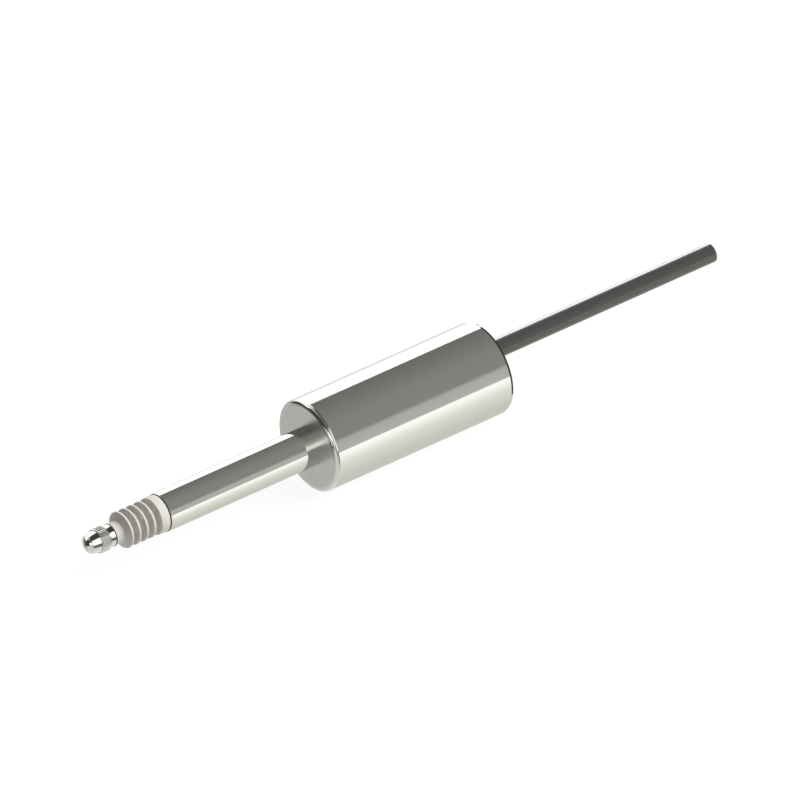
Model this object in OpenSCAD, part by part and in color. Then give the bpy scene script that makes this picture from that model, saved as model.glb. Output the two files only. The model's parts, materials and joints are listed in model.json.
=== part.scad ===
// Pencil-type LVDT displacement probe: a round steel case, a ground clamping stem,
// a spring-loaded measuring spindle on a ball guide, a rubber gaiter, a screw-in
// contact tip and a short straight cable.
// Millimetres. +X points along the axis to the contact tip, +Z is up. The origin is
// on the axis, where the stem leaves the front face of the case.

/* [Case] */
// Outside diameter of the case
body_d = 19; // [18:0.5:23]
// Length of the case from its front face to its rear end
body_len = 43; // [38:0.5:60]
// Wall of the case tube
tube_wall = 1; // [0.7:0.1:1.4]
// Rounded front edge, measured across the face
edge_radial = 1.2; // [0.4:0.1:1.6]
// Rounded front edge, measured along the axis
edge_axial = 0.65; // [0.3:0.05:0.8]
// Height of the chamfer on the rear edge of the case
rear_chamfer = 0.22; // [0.1:0.02:0.5]
// Length of that chamfer along the axis
rear_chamfer_len = 0.55; // [0.2:0.05:1]

/* [End caps] */
// Part of the front cap that shows in front of the tube
cap_flange_t = 0.9; // [0.85:0.05:1.4]
// Part of the front cap that plugs into the tube
cap_spigot_len = 3.4; // [2.6:0.1:4.5]
// Thickness of the rear cap
rear_cap_t = 3.6; // [2.6:0.1:4.2]
// How far the rear cap sits inside the end of the tube
rear_recess = 0.3; // [0:0.1:0.6]
// Wall of the skirt on the rear cap that clamps the terminal board
skirt_wall = 1.2; // [0.8:0.1:1.6]
// Cross section of the seal rings in the caps
seal_d = 1; // [0.8:0.1:1.2]

/* [Stem] */
// Clamping diameter of the stem
stem_d = 8; // [7.9:0.05:9.5]
// Length of the clamping stem
stem_len = 36.2; // [34:0.2:45]
// Chamfer on the front edge of the stem
stem_chamfer = 0.05; // [0.05:0.05:0.4]
// How deep the stem's collar is let into the front face
stem_seat = 0.5; // [0.3:0.1:1]
// How far that collar stands out from the stem
collar_w = 0.2; // [0.1:0.05:0.3]
// Stem where it passes through the front cap
register_d = 7.2; // [6.8:0.1:7.6]
// Bore of the stem
stem_bore_d = 6; // [5.9:0.05:6.3]
// Nose of the stem that carries the gaiter
nose_d = 6; // [5.4:0.1:6.4]
// Length of the nose
nose_len = 1.5; // [1.2:0.1:1.6]
// Hole through the nose
nose_bore_d = 4; // [3.6:0.1:4.4]
// Inner lip at the nose that stops the guide sleeve
nose_lip_t = 1.4; // [0.8:0.1:2]
// Diameter of the ring nut that holds the stem in the front cap
nut_d = 11; // [10:0.5:13]
// Thickness of the ring nut
nut_t = 1.5; // [1:0.1:2]

/* [Gaiter] */
// Diameter of the rear cuff
rear_cuff_d = 7.8; // [7.5:0.1:8]
// How much the rear cuff narrows towards the folds
cuff_draft = 0.1; // [0.02:0.02:0.2]
// Length of the rear cuff
rear_cuff_len = 2.1; // [2:0.05:2.3]
// Gap between the stem and the rear cuff
cuff_gap = 0.05; // [0.05:0.05:0.3]
// Number of folds, counting the front edge of the rear cuff
folds = 5; // [4:1:7]
// Distance from fold to fold
fold_pitch = 1.82; // [1.6:0.02:2.2]
// Diameter over the folds
crest_d = 7.5; // [7.2:0.1:7.8]
// Diameter between the folds
root_d = 5.2; // [5:0.1:5.6]
// Width of the round edge of a fold
crest_w = 0.36; // [0.3:0.02:0.5]
// Width of the valley between two folds
root_w = 0.5; // [0.3:0.05:0.6]
// Wall of the gaiter
gaiter_wall = 0.3; // [0.24:0.02:0.34]
// Diameter of the front cuff
front_cuff_d = 4.5; // [4.3:0.1:5]
// Length of the front cuff
front_cuff_len = 1.85; // [1.5:0.05:3]

/* [Spindle] */
// Travel of the spindle
stroke = 5; // [3:0.5:5]
// Diameter of the spindle in its guide
spindle_d = 3; // [2.9:0.05:3.1]
// Diameter of the spindle under the front cuff
neck_d = 3.5; // [3.3:0.1:3.8]
// Depth of the threaded hole for the contact tip
thread_depth = 4.8; // [4.5:0.1:6]
// Diameter of the tip's threaded stud, left plain
stud_d = 2.4; // [2:0.1:2.5]
// Length of the stud inside the spindle
stud_len = 4.3; // [3:0.1:4.4]
// Thickness of the stop ring on the spindle
stop_t = 1.1; // [0.8:0.1:1.6]
// Diameter of the stop ring
stop_d = 5.4; // [5:0.1:5.5]
// Diameter of the pin that keeps the spindle from turning
key_pin_d = 1; // [0.8:0.1:1.2]
// Distance of that pin from the rear end of the guide sleeve
key_pin_in = 2.5; // [2:0.1:3]

/* [Contact tip] */
// Diameter of the rubber washer on the front cuff
cuff_washer_d = 4.7; // [4.4:0.1:5]
// Thickness of that washer
cuff_washer_t = 0.2; // [0.1:0.02:0.5]
// Diameter of the tapered ring behind the tip
ring_d = 4.6; // [4.4:0.1:4.8]
// Diameter of that ring at its front end
ring_front_d = 4.2; // [3.8:0.1:4.4]
// Length of the ring behind the tip
ring_len = 1.1; // [0.8:0.1:2]
// Chamfer on the front edge of the ring
ring_chamfer = 0.1; // [0.05:0.05:0.3]
// Diameter of the short neck behind the knurl
boss_d = 3.4; // [3.1:0.1:3.8]
// Length of the short neck behind the knurl
boss_len = 0.3; // [0.2:0.05:0.6]
// Diameter over the knurl
knurl_d = 5.06; // [4.8:0.02:5.6]
// Length of the knurl
knurl_len = 2; // [1.5:0.05:3]
// Depth of the knurl's grooves
knurl_depth = 0.1; // [0.06:0.02:0.24]
// Share of each tooth of the knurl that is left at full height
knurl_land = 0.6; // [0.3:0.05:0.8]
// Number of teeth on the knurl
knurl_teeth = 30; // [20:1:40]
// Chamfer at both ends of the knurl
knurl_chamfer = 0.12; // [0.05:0.01:0.2]
// Length of the cone in front of the knurl
cone_len = 1.8; // [1.4:0.1:3]
// Diameter of the cone where it leaves the knurl
cone_rear_d = 4.54; // [4.2:0.02:4.6]
// Diameter of the cone at its front end
cone_front_d = 3.74; // [3.7:0.02:4.1]
// Radius of the carbide dome
dome_r = 2.6; // [2.2:0.05:4]
// Diameter of the carbide dome where it leaves the cone
dome_base_d = 3.68; // [3:0.02:3.7]
// Diameter of the shank of the dome
dome_shank_d = 2.4; // [1.6:0.1:2.6]
// Length of the shank of the dome
dome_shank_len = 1.4; // [1:0.1:1.7]

/* [Ball guide] */
// Length of the guide sleeve
sleeve_len = 24.5; // [22:0.5:25]
// Diameter of the guide balls
ball_d = 1; // [0.9:0.02:1.04]
// Rows of balls along the cage
ball_rows = 5; // [3:1:6]
// Balls in each row
balls_in_row = 6; // [4:1:7]
// Distance from row to row
row_pitch = 2.6; // [1.8:0.1:2.7]
// Wall of the ball cage
cage_wall = 0.4; // [0.3:0.05:0.5]
// Distance from the end of the cage to the nearest row
cage_margin = 1.3; // [0.9:0.1:1.6]

/* [Return spring] */
// Diameter of the spring wire
wire_d = 0.4; // [0.3:0.05:0.45]
// Outside diameter of the spring
spring_d = 5.2; // [4.8:0.1:5.3]
// Number of turns between the two closed ends
spring_turns = 8; // [6:1:9]
// Length of the bush of the spring seat inside the stem
seat_bush_len = 2.1; // [1.5:0.1:3]
// Thickness of the flange of the spring seat
seat_flange_t = 1.7; // [1:0.1:2.4]
// Diameter of the flange of the spring seat
seat_flange_d = 8.6; // [8:0.1:10]

/* [Transducer] */
// Diameter of the rod that carries the core
rod_d = 1.6; // [1.4:0.1:1.8]
// Depth of the rod in the rear end of the spindle
rod_socket = 2.6; // [2:0.1:3]
// Outside diameter of the core
core_d = 2.8; // [2.6:0.05:2.9]
// Length of the core
core_len = 13; // [10:0.5:14]
// Room between the core and the bobbin
core_gap = 0.35; // [0.25:0.05:0.5]
// Wall of the bobbin's tube
bobbin_wall = 0.55; // [0.4:0.05:0.8]
// Thickness of the bobbin's flanges
bobbin_flange_t = 0.8; // [0.5:0.1:1]
// Length of the middle winding
primary_len = 8; // [6:0.5:9]
// How far the windings stay below the edge of the flanges
winding_inset = 0.8; // [0.4:0.1:2]
// Thickness of the end washers
washer_t = 1; // [0.6:0.1:1.2]
// Wall of the magnetic shield
shield_wall = 0.4; // [0.3:0.05:0.6]

/* [Terminals and cable] */
// Thickness of the ring between the coil and the terminal board
spacer_t = 1; // [0.8:0.1:1.4]
// Width of that ring
spacer_w = 1.2; // [0.8:0.1:1.6]
// Thickness of the terminal board
board_t = 1; // [0.8:0.1:1.2]
// Diameter of the terminal pins
pin_d = 0.6; // [0.5:0.05:0.8]
// Room for the leads between the terminal board and the rear cap
wiring_room = 3.6; // [3.4:0.1:5]
// Distance of the terminal pins from the bore of the case
pin_inset = 3; // [2.7:0.1:3.2]
// Length of the pins behind the board
pin_rear = 0.9; // [0.7:0.05:1]
// Length of the pins in front of the board
pin_front = 0.6; // [0.4:0.1:0.7]
// Diameter of the cable
cable_d = 3.9; // [3.4:0.1:4.2]
// Height of the cable above the axis
cable_up = 3.2; // [2.8:0.1:3.6]
// Diameter of the rubber grommet in the rear cap
grommet_d = 5.2; // [5:0.1:5.6]
// Diameter of the grommet's lip
grommet_lip_d = 6.2; // [5.8:0.1:7]
// Thickness of the grommet's lip
grommet_lip_t = 0.8; // [0.5:0.1:1.2]
// Length of the crimped ferrule on the cable
ferrule_len = 1.4; // [1:0.1:1.5]
// Wall of the ferrule
ferrule_wall = 0.4; // [0.3:0.05:0.5]
// Diameter of the insulated leads
lead_d = 0.56; // [0.46:0.02:0.6]

/* [Clearances] */
// Play around pieces that are fitted and stay put
fit = 0.02; // [0.01:0.01:0.04]
// Play of the balls between spindle and sleeve
run_clear = 0.03; // [0.02:0.01:0.04]
// Play of the key pin in its slot and of the balls in their cage
slot_clear = 0.06; // [0.03:0.01:0.1]
// Gap left where a moving piece stops against a fixed one
stop_gap = 0.1; // [0.05:0.05:0.2]

/* [Hidden] */
$fn = 96;

// Radii that several pieces share
body_r = body_d / 2;
bore_r = body_r - tube_wall;
stem_r = stem_d / 2;
collar_r = stem_r + collar_w;
register_r = register_d / 2;
stem_bore_r = stem_bore_d / 2;
nose_r = nose_d / 2;
spindle_r = spindle_d / 2;
neck_r = neck_d / 2;
ball_r = ball_d / 2;
sleeve_bore_r = spindle_r + ball_d + 2 * run_clear;
ball_circle_r = spindle_r + run_clear + ball_r;
rod_r = rod_d / 2;
core_r = core_d / 2;
bobbin_bore_r = core_r + core_gap;
bobbin_tube_r = bobbin_bore_r + bobbin_wall;
shield_r = bore_r - fit;
coil_r = shield_r - shield_wall - fit;
winding_r = coil_r - winding_inset;
cable_r = cable_d / 2;
cable_hole_r = cable_r + fit;
ring_hole_r = stud_d / 2 + 2 * fit;

// Stations along the axis, from the front face of the case to the coil
cap_rear_x = -cap_flange_t - cap_spigot_len;
nut_rear_x = cap_rear_x - nut_t;
coil_front_x = nut_rear_x - seat_flange_t;
bobbin_front_x = coil_front_x - washer_t;

// Stations along the axis, from the rear end of the case to the coil
rear_face_x = rear_recess - body_len;
rear_inner_x = rear_face_x + rear_cap_t;
cable_inner_x = rear_inner_x + ferrule_len;
board_rear_x = rear_inner_x + wiring_room;
board_front_x = board_rear_x + board_t;
coil_rear_x = board_front_x + spacer_t;
bobbin_rear_x = coil_rear_x + washer_t;

// The two outer windings share what the middle one leaves of the bobbin
bobbin_len = bobbin_front_x - bobbin_rear_x;
secondary_len = (bobbin_len - primary_len - 4 * bobbin_flange_t) / 2;

// Stations of the windings, from the front flange to the rear
front_secondary_x = bobbin_front_x - bobbin_flange_t - secondary_len;
primary_x = front_secondary_x - bobbin_flange_t - primary_len;
rear_secondary_x = primary_x - bobbin_flange_t - secondary_len;
coil_middle_x = primary_x + primary_len / 2;

// Stations of the guide, the stops and the spring
sleeve_front_x = stem_len - nose_lip_t;
sleeve_rear_x = sleeve_front_x - sleeve_len;
stop_front_x = sleeve_rear_x - stop_gap;
spindle_rear_x = stop_front_x - stop_t;
key_pin_x = sleeve_rear_x + key_pin_in;
slot_end_x = key_pin_x + key_pin_d / 2 + stop_gap;
cage_rear_x = slot_end_x + 1.2;
cage_len = 2 * cage_margin + (ball_rows - 1) * row_pitch;
cage_r = ball_circle_r + cage_wall / 2;
seat_front_x = nut_rear_x + seat_bush_len;
spring_len = spindle_rear_x - seat_front_x - 2 * fit;

// Stations of the gaiter and the tip
nose_front_x = stem_len + nose_len;
gaiter_rear_x = stem_len + cuff_gap;
rear_cuff_x = gaiter_rear_x + rear_cuff_len;
first_crest_x = rear_cuff_x - crest_w / 2;
last_crest_x = first_crest_x + (folds - 1) * fold_pitch;
front_cuff_x = last_crest_x + fold_pitch / 2;
spindle_front_x = front_cuff_x + front_cuff_len;
ring_rear_x = spindle_front_x + cuff_washer_t;
ring_front_x = ring_rear_x + ring_len;
knurl_rear_x = ring_front_x + boss_len;
knurl_front_x = knurl_rear_x + knurl_len;
cone_front_x = knurl_front_x + cone_len;
dome_centre_x = cone_front_x - sqrt(dome_r * dome_r - dome_base_d * dome_base_d / 4);

// The core sits half a stroke in front of the coil's middle when the spindle is out
core_front_x = coil_middle_x + stroke / 2 + core_len / 2;
core_rear_x = core_front_x - core_len;
core_nut_t = 1.2;
rod_rear_x = core_rear_x - core_nut_t - 0.5;

// Terminals stand on an arc above the cable, with one lead to each
pin_angles = [30, 60, 90, 120, 150];
pin_circle_r = bore_r - pin_inset;
lead_circle_r = 1;
pin_end_x = board_rear_x - pin_rear;

// The cable runs straight back to its cut end, given as distances behind the case
cable_route = [0, 9, 18, 27, 36, 45, 55.5];
cable_sides = 8;

// Helpers

function unit(v) = v / norm(v);

// A solid turned about the X axis from points given as radius and station
module turned(profile) {
    rotate([0, 90, 0])
        rotate_extrude()
            polygon(profile);
}

// A plain ring about the X axis between two stations
module ring(rear_x, front_x, outer_r, inner_r) {
    turned([[inner_r, rear_x], [outer_r, rear_x], [outer_r, front_x], [inner_r, front_x]]);
}

// A plain round bar along X
module bar(rear_x, front_x, r) {
    translate([rear_x, 0, 0])
        rotate([0, 90, 0])
            cylinder(h = front_x - rear_x, r = r);
}

// A seal ring of round section that fills its groove
module seal_ring(middle_x) {
    rotate([0, 90, 0])
        translate([0, 0, middle_x])
            rotate_extrude()
                translate([bore_r - seal_d / 2 - fit, 0])
                    circle(d = seal_d);
}

// The groove that holds such a seal ring
module seal_groove(middle_x) {
    groove_w = seal_d + 0.2;
    ring(middle_x - groove_w / 2, middle_x + groove_w / 2, bore_r + 1, bore_r - seal_d - 2 * fit);
}

// A tube of round section swept along a path, with its rings square to the path
module swept_tube(path, r, sides, reference) {
    last = len(path) - 1;
    function heading(i) = unit(path[min(i + 1, last)] - path[max(i - 1, 0)]);
    function across(i) = unit(cross(heading(i), reference));
    function upward(i) = cross(across(i), heading(i));
    vertices = [
        for (i = [0 : last])
            for (j = [0 : sides - 1])
                path[i] + r * (cos(360 * j / sides) * across(i) + sin(360 * j / sides) * upward(i))
    ];
    walls = [
        for (i = [0 : last - 1])
            for (j = [0 : sides - 1])
                let (k = (j + 1) % sides)
                    [i * sides + j, i * sides + k, (i + 1) * sides + k, (i + 1) * sides + j]
    ];
    start_cap = [for (j = [sides - 1 : -1 : 0]) j];
    end_cap = [for (j = [0 : sides - 1]) last * sides + j];
    polyhedron(points = vertices, faces = concat([start_cap], walls, [end_cap]));
}

// Case

front_seal_x = -cap_flange_t - cap_spigot_len / 2;
rear_seal_x = rear_face_x + rear_cap_t / 2;

module body_tube() {
    rear_x = -body_len;
    color([0.72, 0.72, 0.70])
        turned([
            [bore_r, rear_x],
            [body_r - rear_chamfer, rear_x],
            [body_r, rear_x + rear_chamfer_len],
            [body_r, -cap_flange_t],
            [bore_r, -cap_flange_t]
        ]);
}

module front_cap() {
    spigot_r = bore_r - fit;
    hole_r = register_r + fit;
    seat_r = collar_r + fit;
    round_edge = [
        for (a = [0 : 7.5 : 90])
            [body_r - edge_radial + edge_radial * sin(a), -edge_axial + edge_axial * cos(a)]
    ];
    color([0.72, 0.72, 0.70])
        difference() {
            turned(concat(
                [[hole_r, -stem_seat], [seat_r, -stem_seat], [seat_r, 0]],
                round_edge,
                [
                    [body_r, -cap_flange_t],
                    [spigot_r, -cap_flange_t],
                    [spigot_r, cap_rear_x],
                    [hole_r, cap_rear_x]
                ]
            ));
            seal_groove(front_seal_x);
        }
}

module front_seal() {
    color([0.08, 0.08, 0.08])
        seal_ring(front_seal_x);
}

module rear_cap() {
    plug_r = bore_r - fit;
    skirt_r = plug_r - skirt_wall;
    color([0.72, 0.72, 0.70])
        difference() {
            turned([
                [0, rear_face_x],
                [plug_r, rear_face_x],
                [plug_r, board_rear_x],
                [skirt_r, board_rear_x],
                [skirt_r, rear_inner_x],
                [0, rear_inner_x]
            ]);
            seal_groove(rear_seal_x);
            translate([0, 0, cable_up])
                bar(rear_face_x - 1, rear_inner_x + 1, grommet_d / 2);
        }
}

module rear_seal() {
    color([0.08, 0.08, 0.08])
        seal_ring(rear_seal_x);
}

// Stem and guide

module stem_tube() {
    color([0.74, 0.74, 0.72])
        turned([
            [stem_bore_r, nut_rear_x],
            [register_r, nut_rear_x],
            [register_r, -stem_seat],
            [collar_r, -stem_seat],
            [collar_r, 0],
            [stem_r, 0],
            [stem_r, stem_len - stem_chamfer],
            [stem_r - stem_chamfer, stem_len],
            [nose_r, stem_len],
            [nose_r, nose_front_x],
            [nose_bore_d / 2, nose_front_x],
            [nose_bore_d / 2, sleeve_front_x],
            [stem_bore_r, sleeve_front_x]
        ]);
}

module stem_nut() {
    slot_w = 1.4;
    slot_depth = 0.9;
    color([0.66, 0.66, 0.64])
        difference() {
            ring(nut_rear_x, cap_rear_x, nut_d / 2, register_r + fit);
            for (a = [0 : 90 : 270])
                rotate([a, 0, 0])
                    translate([nut_rear_x - 1, -slot_w / 2, nut_d / 2 - slot_depth])
                        cube([nut_t + 2, slot_w, slot_depth + 1]);
        }
}

module guide_sleeve() {
    slot_w = key_pin_d + 2 * slot_clear;
    color([0.62, 0.62, 0.62])
        difference() {
            ring(sleeve_rear_x, sleeve_front_x, stem_bore_r - fit, sleeve_bore_r);
            translate([sleeve_rear_x - 1, -slot_w / 2, 0])
                cube([slot_end_x - sleeve_rear_x + 1, slot_w, stem_r]);
        }
}

module spring_seat() {
    hole_r = rod_r + 0.4;
    color([0.78, 0.62, 0.30])
        union() {
            ring(nut_rear_x, seat_front_x, stem_bore_r - fit, hole_r);
            ring(coil_front_x, nut_rear_x, seat_flange_d / 2, hole_r);
        }
}

// The wire's path closes to touching turns at both ends
module return_spring() {
    mean_r = (spring_d - wire_d) / 2;
    steps_per_turn = 20;
    end_turns = 1;
    turns = spring_turns + 2 * end_turns;
    rise = spring_len - wire_d * (1 + 2 * end_turns);
    function lift(turn) =
        turn < end_turns ? turn * wire_d :
        turn > turns - end_turns ? rise + wire_d * (turn - turns + 2 * end_turns) :
        end_turns * wire_d + rise * (turn - end_turns) / spring_turns;
    path = [
        for (i = [0 : turns * steps_per_turn])
            let (turn = i / steps_per_turn)
                [
                    seat_front_x + fit + wire_d / 2 + lift(turn),
                    mean_r * cos(360 * turn),
                    mean_r * sin(360 * turn)
                ]
    ];
    color([0.55, 0.55, 0.56])
        swept_tube(path, wire_d / 2, 8, [1, 0, 0]);
}

// Rubber gaiter with round-edged folds, open inside

module gaiter() {
    crest_r = crest_d / 2;
    root_r = root_d / 2;
    rear_cuff_r = rear_cuff_d / 2;
    front_cuff_r = front_cuff_d / 2;
    cuff_round = 0.12;
    fold_gap = 0.06;
    flank_in = fold_pitch / 2 - root_w / 2;
    cavity_in = flank_in - gaiter_wall;
    neck_hole_r = neck_r + fit;
    function crest_x(i) = first_crest_x + i * fold_pitch;
    function crest_arc(x) = [
        for (a = [0 : 20 : 180])
            [crest_r - crest_w / 2 * (1 - sin(a)), x - crest_w / 2 * cos(a)]
    ];
    outside = concat(
        [
            [rear_cuff_r - cuff_round, gaiter_rear_x],
            [rear_cuff_r, gaiter_rear_x + cuff_round],
            [rear_cuff_r - cuff_draft, rear_cuff_x - cuff_round],
            [rear_cuff_r - cuff_draft - cuff_round, rear_cuff_x]
        ],
        [
            for (i = [0 : folds - 1])
                each concat(
                    i == 0 ? [] : concat([[root_r, crest_x(i) - flank_in]], crest_arc(crest_x(i))),
                    [[root_r, crest_x(i) + flank_in]]
                )
        ],
        [
            [front_cuff_r, front_cuff_x],
            [front_cuff_r, spindle_front_x - cuff_round],
            [front_cuff_r - cuff_round, spindle_front_x - fit]
        ]
    );
    inside = concat(
        [
            [neck_hole_r, spindle_front_x - fit],
            [neck_hole_r, front_cuff_x - gaiter_wall]
        ],
        [
            for (i = [folds - 1 : -1 : 0])
                each concat(
                    [
                        [root_r - gaiter_wall, crest_x(i) + cavity_in],
                        [crest_r - gaiter_wall, crest_x(i) + fold_gap / 2],
                        [crest_r - gaiter_wall, crest_x(i) - fold_gap / 2]
                    ],
                    i == 0 ? [] : [[root_r - gaiter_wall, crest_x(i) - cavity_in]]
                )
        ],
        [
            [nose_r + fit, nose_front_x + fit],
            [nose_r + fit, gaiter_rear_x]
        ]
    );
    color([0.84, 0.83, 0.79])
        turned(concat(outside, inside));
}

// Coil unit

module shield_tube() {
    color([0.50, 0.50, 0.48])
        ring(coil_rear_x, coil_front_x, shield_r, shield_r - shield_wall);
}

module front_washer() {
    color([0.50, 0.50, 0.48])
        ring(bobbin_front_x, coil_front_x, coil_r, bobbin_bore_r);
}

module rear_washer() {
    color([0.50, 0.50, 0.48])
        ring(coil_rear_x, bobbin_rear_x, coil_r, bobbin_bore_r);
}

module coil_bobbin() {
    flange_rears = [
        bobbin_rear_x,
        rear_secondary_x + secondary_len,
        primary_x + primary_len,
        bobbin_front_x - bobbin_flange_t
    ];
    color([0.20, 0.20, 0.22])
        union() {
            ring(bobbin_rear_x, bobbin_front_x, bobbin_tube_r, bobbin_bore_r);
            for (x = flange_rears)
                ring(x, x + bobbin_flange_t, coil_r, bobbin_bore_r);
        }
}

module winding(rear_x, length) {
    color([0.72, 0.40, 0.20])
        ring(rear_x + fit, rear_x + length - fit, winding_r, bobbin_tube_r + fit);
}

module primary_winding() {
    winding(primary_x, primary_len);
}

module front_secondary() {
    winding(front_secondary_x, secondary_len);
}

module rear_secondary() {
    winding(rear_secondary_x, secondary_len);
}

// Terminals and cable

module board_spacer() {
    color([0.20, 0.20, 0.22])
        ring(board_front_x, coil_rear_x, shield_r, shield_r - spacer_w);
}

function pin_point(a, x) = [x, pin_circle_r * cos(a), pin_circle_r * sin(a)];

module terminal_board() {
    color([0.16, 0.36, 0.22])
        difference() {
            bar(board_rear_x, board_front_x, shield_r);
            for (a = pin_angles)
                translate(pin_point(a, 0))
                    bar(board_rear_x - 1, board_front_x + 1, pin_d / 2 + fit);
        }
}

module terminal_pins() {
    color([0.78, 0.74, 0.60])
        for (a = pin_angles)
            translate(pin_point(a, 0))
                bar(pin_end_x, board_front_x + pin_front, pin_d / 2);
}

// Each lead leaves the cable straight, crosses over in two bends and meets its pin end on
module cable_leads() {
    straight = 0.1;
    room = pin_end_x - cable_inner_x;
    function bend(r, away, b) = [straight + r * sin(b), 0, 0] + r * (1 - cos(b)) * away;
    color([0.75, 0.20, 0.15])
        for (a = pin_angles) {
            finish = pin_point(a, pin_end_x);
            way = [0, finish.y, finish.z - cable_up];
            away = unit(way);
            start = [cable_inner_x, 0, cable_up] + lead_circle_r * away;
            bend_r = min(room / 2 - straight, (norm(way) - lead_circle_r) / 2);
            path = concat(
                [start],
                [for (b = [0 : 15 : 90]) start + bend(bend_r, away, b)],
                [for (b = [90 : -15 : 0]) finish - bend(bend_r, away, b)],
                [finish]
            );
            swept_tube(path, lead_d / 2, 8, cross([1, 0, 0], away));
        }
}

module cable_grommet() {
    color([0.12, 0.12, 0.12])
        translate([0, 0, cable_up])
            union() {
                ring(rear_face_x, rear_inner_x, grommet_d / 2 - fit, cable_hole_r);
                ring(rear_face_x - grommet_lip_t, rear_face_x, grommet_lip_d / 2, cable_hole_r);
            }
}

module cable_ferrule() {
    color([0.70, 0.56, 0.30])
        translate([0, 0, cable_up])
            ring(rear_inner_x, cable_inner_x, cable_hole_r + ferrule_wall, cable_hole_r);
}

module cable_jacket() {
    path = concat(
        [[cable_inner_x, 0, cable_up]],
        [for (behind = cable_route) [-body_len - behind, 0, cable_up]]
    );
    color([0.30, 0.29, 0.29])
        swept_tube(path, cable_r, cable_sides, [0, 0, 1]);
}

// Spindle with its tip

module spindle() {
    socket_r = rod_r + fit;
    thread_r = stud_d / 2 + fit;
    neck_x = front_cuff_x - gaiter_wall;
    color([0.68, 0.68, 0.67])
        difference() {
            turned([
                [0, spindle_rear_x],
                [spindle_r, spindle_rear_x],
                [spindle_r, neck_x],
                [neck_r, neck_x],
                [neck_r, spindle_front_x],
                [0, spindle_front_x]
            ]);
            bar(spindle_front_x - thread_depth, spindle_front_x + 1, thread_r);
            bar(spindle_rear_x - 1, spindle_rear_x + rod_socket, socket_r);
            translate([key_pin_x, 0, 0])
                cylinder(h = spindle_r + 1, d = key_pin_d + 2 * fit);
        }
}

module stop_ring() {
    color([0.60, 0.60, 0.60])
        ring(spindle_rear_x, stop_front_x, stop_d / 2, spindle_r + fit);
}

module key_pin() {
    reach = stem_bore_r - stop_gap;
    color([0.60, 0.60, 0.60])
        translate([key_pin_x, 0, 0])
            cylinder(h = reach, d = key_pin_d, $fn = 32);
}

module cuff_washer() {
    color([0.08, 0.08, 0.08])
        ring(spindle_front_x, ring_rear_x, cuff_washer_d / 2, ring_hole_r);
}

module gaiter_ring() {
    front_r = ring_front_d / 2;
    color([0.74, 0.74, 0.72])
        turned([
            [ring_hole_r, ring_rear_x],
            [ring_d / 2, ring_rear_x],
            [front_r, ring_front_x - ring_chamfer],
            [front_r - ring_chamfer, ring_front_x],
            [ring_hole_r, ring_front_x]
        ]);
}

// Prism with straight teeth along the axis, cut to a chamfered band
module knurl() {
    tip_r = knurl_d / 2;
    valley_r = tip_r - knurl_depth;
    tooth_angle = 360 / knurl_teeth;
    function spot(r, a) = [r * cos(a), r * sin(a)];
    teeth = [
        for (i = [0 : knurl_teeth - 1])
            each [
                spot(tip_r, (i - knurl_land / 2) * tooth_angle),
                spot(tip_r, (i + knurl_land / 2) * tooth_angle),
                spot(valley_r, (i + 0.5) * tooth_angle)
            ]
    ];
    spare = 1;
    intersection() {
        translate([knurl_rear_x - spare, 0, 0])
            rotate([0, 90, 0])
                linear_extrude(height = knurl_len + 2 * spare)
                    polygon(teeth);
        turned([
            [0, knurl_rear_x],
            [tip_r - knurl_chamfer, knurl_rear_x],
            [tip_r, knurl_rear_x + knurl_chamfer],
            [tip_r, knurl_front_x - knurl_chamfer],
            [tip_r - knurl_chamfer, knurl_front_x],
            [0, knurl_front_x]
        ]);
    }
}

module contact_tip() {
    stud_r = stud_d / 2;
    boss_r = boss_d / 2;
    cone_rear_r = cone_rear_d / 2;
    knurl_middle_x = knurl_rear_x + knurl_len / 2;
    stud_rear_x = spindle_front_x - stud_len;
    socket_depth = dome_shank_len + stop_gap;
    color([0.74, 0.74, 0.72])
        difference() {
            union() {
                knurl();
                turned([
                    [0, stud_rear_x],
                    [stud_r, stud_rear_x],
                    [stud_r, ring_front_x],
                    [boss_r, ring_front_x],
                    [boss_r, knurl_middle_x],
                    [cone_rear_r, knurl_middle_x],
                    [cone_rear_r, knurl_front_x],
                    [cone_front_d / 2, cone_front_x],
                    [0, cone_front_x]
                ]);
            }
            bar(cone_front_x - socket_depth, cone_front_x + 1, dome_shank_d / 2 + fit);
        }
}

// Round-ended shank, turned from an outline whose cap is an arc
module tip_dome() {
    color([0.36, 0.36, 0.37])
        rotate([0, 90, 0])
            rotate_extrude()
                union() {
                    translate([0, cone_front_x - dome_shank_len])
                        square([dome_shank_d / 2, dome_shank_len + fit]);
                    intersection() {
                        translate([0, dome_centre_x])
                            circle(r = dome_r);
                        translate([0, cone_front_x])
                            square([dome_r + 1, dome_r + 1]);
                    }
                }
}

// Core on its rod

module core_rod() {
    color([0.70, 0.70, 0.70])
        bar(rod_rear_x, spindle_rear_x + rod_socket - fit, rod_r);
}

module core_sleeve() {
    color([0.42, 0.42, 0.42])
        ring(core_rear_x, core_front_x, core_r, rod_r + fit);
}

module core_nut() {
    color([0.78, 0.62, 0.30])
        difference() {
            translate([core_rear_x - core_nut_t, 0, 0])
                rotate([0, 90, 0])
                    cylinder(h = core_nut_t, r = core_r, $fn = 6);
            bar(core_rear_x - core_nut_t - 1, core_rear_x + 1, rod_r + fit);
        }
}

// Ball cage, with every second row turned by half a step

function ball_angle(row, i) = 360 / balls_in_row * (i + (row % 2) / 2);
function ball_x(row) = cage_rear_x + cage_margin + row * row_pitch;

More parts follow.
